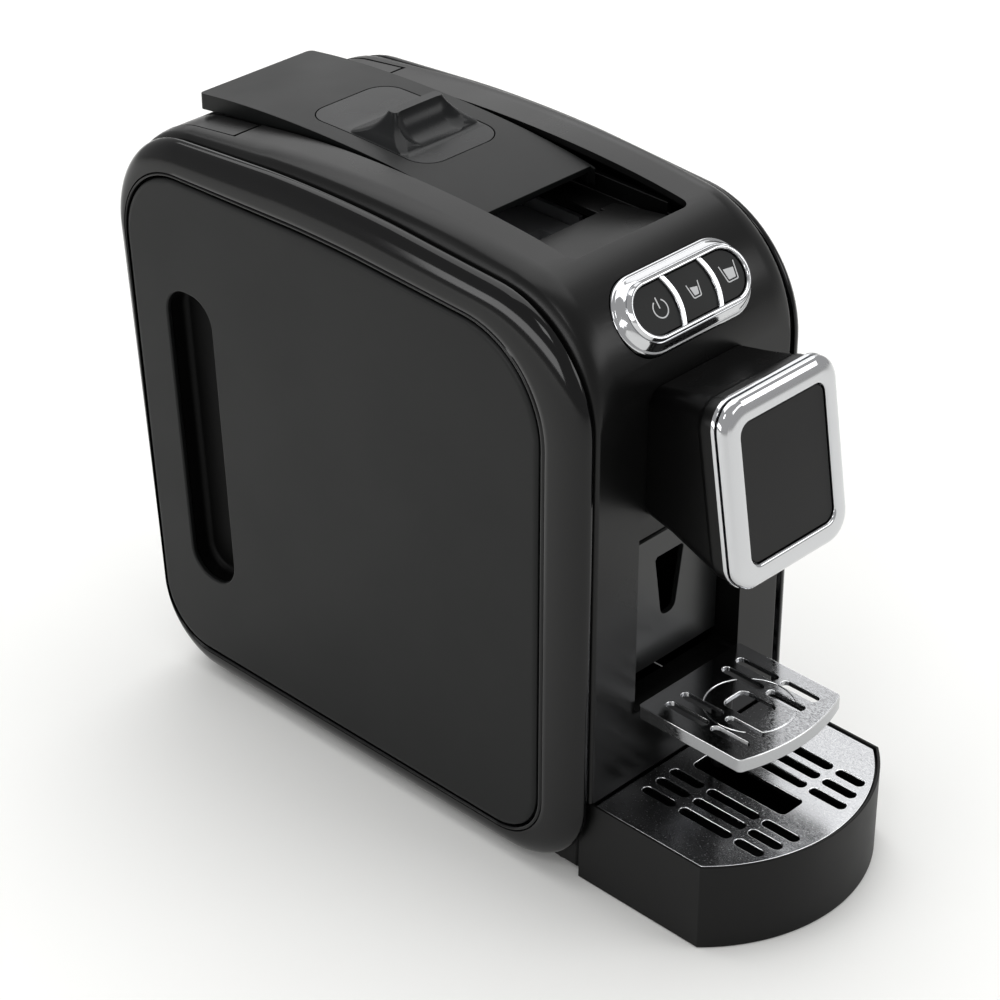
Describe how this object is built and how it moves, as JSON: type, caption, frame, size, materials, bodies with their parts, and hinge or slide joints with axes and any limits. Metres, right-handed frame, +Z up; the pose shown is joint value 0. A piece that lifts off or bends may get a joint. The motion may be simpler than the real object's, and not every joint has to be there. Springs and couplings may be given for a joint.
{
  "type": "pod coffee machine",
  "caption": "Slim black pod coffee machine with a sliding top lid, chrome-framed controls and spout head, a cup shelf, a drip tray and a rear water tank.",
  "frame": {"origin": "on the worktop, under the centre of the bounding box", "axes": "+Z up, the spout and the controls face -Y, X = 0 is the plane of symmetry of the housing"},
  "size_m": [0.1398, 0.3658, 0.2938],
  "materials": {
    "black_rubber": "moulded rubber",
    "cast_aluminium": "die-cast",
    "chrome": "bright chrome-plated ABS",
    "gloss_black": "high-gloss moulded ABS",
    "laminate": "fibreglass circuit board",
    "matte_black": "fine-texture moulded polypropylene",
    "matte_charcoal": "fine-grain moulded ABS",
    "nylon_grey": "glass-filled nylon",
    "satin_black": "satin moulded ABS",
    "satin_steel": "satin stainless steel",
    "silicone": "clear silicone",
    "smoked": "smoked copolyester",
    "white_acetal": "moulded acetal",
    "zinc_steel": "zinc-plated steel"
  },
  "bodies": {
    "machine": {"base_chassis": "matte_black", "brew_housing": "nylon_grey", "centre_shell": "satin_black", "control_bezel": "chrome", "control_board": "laminate", "extraction_plate": "satin_steel", "face_plate": "satin_black", "flow_meter": "white_acetal", "foot_front_left": "black_rubber", "foot_front_right": "black_rubber", "foot_rear_left": "black_rubber", "foot_rear_right": "black_rubber", "frame_plate_left": "nylon_grey", "frame_plate_right": "nylon_grey", "head_bezel": "chrome", "head_housing": "satin_black", "hose_meter_to_pump": "silicone", "hose_pump_to_block": "silicone", "hose_tank_to_meter": "silicone", "lid_track": "satin_black", "pipe_block_to_brewer": "silicone", "pipe_brewer_to_spout": "silicone", "power_board": "laminate", "power_inlet": "black_rubber", "pump": "zinc_steel", "pump_saddle_front": "black_rubber", "pump_saddle_rear": "black_rubber", "rear_panel": "matte_black", "rear_screw_left": "zinc_steel", "rear_screw_right": "zinc_steel", "side_cover_left": "gloss_black", "side_cover_right": "gloss_black", "side_panel_left": "matte_charcoal", "side_panel_right": "matte_charcoal", "spout": "matte_black", "tank_bay": "matte_black", "thermoblock": "cast_aluminium"},
    "lid": {"sliding_lid": "matte_charcoal", "lid_grip": "matte_charcoal"},
    "piston": {"brew_piston": "white_acetal"},
    "power_key": {"button_power": "satin_black"},
    "small_cup_key": {"button_small_cup": "satin_black"},
    "large_cup_key": {"button_large_cup": "satin_black"},
    "cup_shelf": {"cup_tray": "satin_steel", "cup_tray_drain": "satin_black"},
    "tray": {"drip_tray": "matte_black"},
    "grille": {"drip_grille": "satin_steel"},
    "bin": {"pod_bin": "satin_black"},
    "tank": {"tank_body": "smoked", "tank_lid": "satin_black", "tank_valve": "white_acetal"}
  },
  "joints": [
    {"name": "lid_slide", "type": "slide", "parent": "machine", "child": "lid", "axis": [0, -1, 0], "range_m": [0, 0.049]},
    {"name": "piston_slide", "type": "slide", "parent": "machine", "child": "piston", "axis": [0, -1, 0], "range_m": [0, 0.0148]},
    {"name": "power_press", "type": "slide", "parent": "machine", "child": "power_key", "axis": [0, 0.7815, -0.6239], "range_m": [0, 0.0015], "stiffness_N_per_m": 900},
    {"name": "small_cup_press", "type": "slide", "parent": "machine", "child": "small_cup_key", "axis": [0, 0.7815, -0.6239], "range_m": [0, 0.0015], "stiffness_N_per_m": 900},
    {"name": "large_cup_press", "type": "slide", "parent": "machine", "child": "large_cup_key", "axis": [0, 0.7815, -0.6239], "range_m": [0, 0.0015], "stiffness_N_per_m": 900},
    {"name": "cup_shelf_pull", "type": "slide", "parent": "machine", "child": "cup_shelf", "axis": [0, -1, 0], "range_m": [0, 0.04]},
    {"name": "drip_tray_pull", "type": "slide", "parent": "machine", "child": "tray", "axis": [0, -1, 0], "range_m": [0, 0.12]},
    {"name": "grille_lift", "type": "slide", "parent": "tray", "child": "grille", "axis": [0, 0, 1], "range_m": [0, 0.03]},
    {"name": "bin_pull", "type": "slide", "parent": "machine", "child": "bin", "axis": [0, -1, 0], "range_m": [0, 0.07]},
    {"name": "tank_pull", "type": "slide", "parent": "machine", "child": "tank", "axis": [0, 1, 0], "range_m": [0, 0.09]}
  ],
  "couplings": [
    {"joint": "piston_slide", "follows": "lid_slide", "ratio": 0.3}
  ]
}
